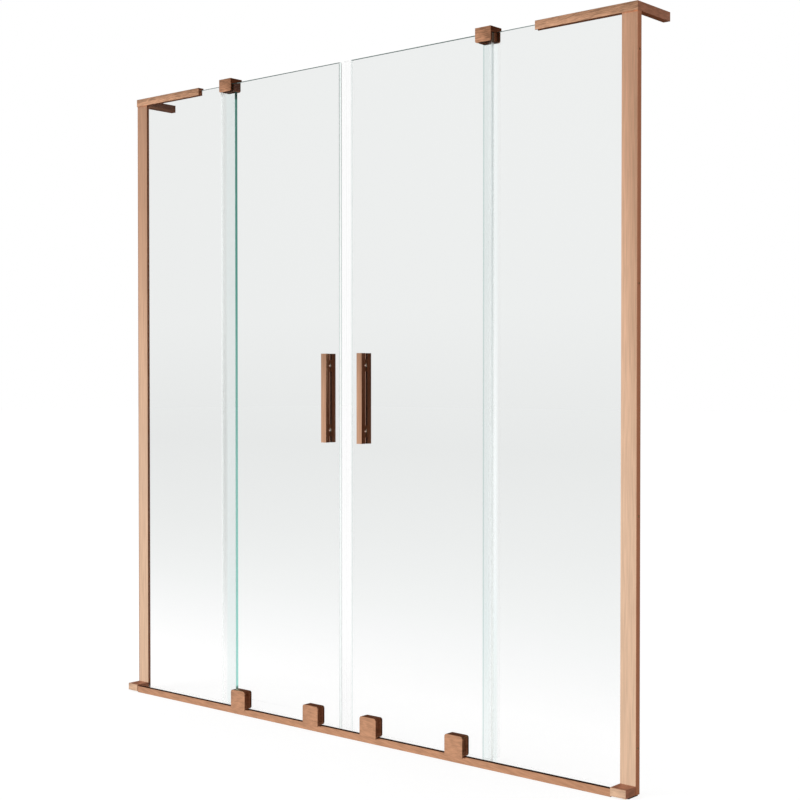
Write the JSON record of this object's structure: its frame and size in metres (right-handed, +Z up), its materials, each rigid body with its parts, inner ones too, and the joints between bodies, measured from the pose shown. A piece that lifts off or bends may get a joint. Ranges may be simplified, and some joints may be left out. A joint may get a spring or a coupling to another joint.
{
  "type": "sliding bath screen",
  "caption": "Frameless glass bath screen for a wall-to-wall opening: doors on bottom rollers slide apart in front of fixed side panes, with brushed copper rail, braces and handles.",
  "frame": {"origin": "centre of the bottom rail's underside, on the bath rim, midway between the walls", "axes": "+X along the bath to the right as seen from the room, -Y towards the room, where the doors and the rail are, +Y towards the bath, +Z up"},
  "size_m": [1.475, 0.156, 1.5028],
  "materials": {
    "copper_anodised": "brushed, copper colour",
    "copper_plate": "brushed, copper colour",
    "clear_glass": "clear, toughened, with polished green edges",
    "clear_seal": "clear, flexible",
    "brown_rubber": "matt",
    "soft_pad": "matt, copper brown",
    "magnet": "smooth, white",
    "white_nylon": "smooth, white",
    "steel": "stainless"
  },
  "bodies": {
    "frame": {"left_wall_profile": "copper_anodised", "left_fixed_glass": "clear_glass", "left_top_brace": "copper_anodised", "left_top_guide": "copper_plate", "left_end_cap": "copper_plate", "right_wall_profile": "copper_anodised", "right_fixed_glass": "clear_glass", "right_top_brace": "copper_anodised", "right_top_guide": "copper_plate", "right_end_cap": "copper_plate", "bottom_rail": "copper_anodised", "glazing_gaskets": "brown_rubber", "wall_seals": "brown_rubber", "foot_seals": "clear_seal", "guide_liners": "brown_rubber", "frame_keys": "steel", "frame_screws": "steel"},
    "left_door": {"left_door_glass": "clear_glass", "left_trailing_seal": "clear_seal", "left_magnet_seal": "clear_seal", "left_magnet_strip": "magnet", "left_bottom_sweep": "clear_seal", "left_handle_front": "copper_plate", "left_handle_back": "copper_plate", "left_handle_pads": "soft_pad", "left_handle_fixings": "steel", "left_glass_bushes": "white_nylon", "left_outer_roller_housing": "copper_plate", "left_inner_roller_housing": "copper_plate", "left_outer_roller_carrier": "copper_plate", "left_inner_roller_carrier": "copper_plate", "left_roller_pads": "clear_seal", "left_roller_axles": "steel", "left_roller_screws": "steel"},
    "right_door": {"right_door_glass": "clear_glass", "right_trailing_seal": "clear_seal", "right_magnet_seal": "clear_seal", "right_magnet_strip": "magnet", "right_bottom_sweep": "clear_seal", "right_handle_front": "copper_plate", "right_handle_back": "copper_plate", "right_handle_pads": "soft_pad", "right_handle_fixings": "steel", "right_glass_bushes": "white_nylon", "right_outer_roller_housing": "copper_plate", "right_inner_roller_housing": "copper_plate", "right_outer_roller_carrier": "copper_plate", "right_inner_roller_carrier": "copper_plate", "right_roller_pads": "clear_seal", "right_roller_axles": "steel", "right_roller_screws": "steel"},
    "left_outer_roller": {"left_outer_wheel": "white_nylon", "left_outer_bearing": "steel"},
    "left_inner_roller": {"left_inner_wheel": "white_nylon", "left_inner_bearing": "steel"},
    "right_outer_roller": {"right_outer_wheel": "white_nylon", "right_outer_bearing": "steel"},
    "right_inner_roller": {"right_inner_wheel": "white_nylon", "right_inner_bearing": "steel"}
  },
  "joints": [
    {"name": "left_door_slide", "type": "slide", "parent": "frame", "child": "left_door", "axis": [-1, 0, 0], "range_m": [0, 0.284]},
    {"name": "right_door_slide", "type": "slide", "parent": "frame", "child": "right_door", "axis": [1, 0, 0], "range_m": [0, 0.284]},
    {"name": "left_outer_roller_spin", "type": "hinge", "parent": "left_door", "child": "left_outer_roller", "pos_m": [-0.325, 0, 0.0265], "axis": [0, -1, 0], "range_deg": [-10, 1500]},
    {"name": "left_inner_roller_spin", "type": "hinge", "parent": "left_door", "child": "left_inner_roller", "pos_m": [-0.087, 0, 0.0265], "axis": [0, -1, 0], "range_deg": [-10, 1500]},
    {"name": "right_outer_roller_spin", "type": "hinge", "parent": "right_door", "child": "right_outer_roller", "pos_m": [0.325, 0, 0.0265], "axis": [0, 1, 0], "range_deg": [-10, 1500]},
    {"name": "right_inner_roller_spin", "type": "hinge", "parent": "right_door", "child": "right_inner_roller", "pos_m": [0.087, 0, 0.0265], "axis": [0, 1, 0], "range_deg": [-10, 1500]}
  ],
  "couplings": [
    {"joint": "left_outer_roller_spin", "follows": "left_door_slide", "rad_per_m": 90.909},
    {"joint": "left_inner_roller_spin", "follows": "left_door_slide", "rad_per_m": 90.909},
    {"joint": "right_outer_roller_spin", "follows": "right_door_slide", "rad_per_m": 90.909},
    {"joint": "right_inner_roller_spin", "follows": "right_door_slide", "rad_per_m": 90.909}
  ]
}
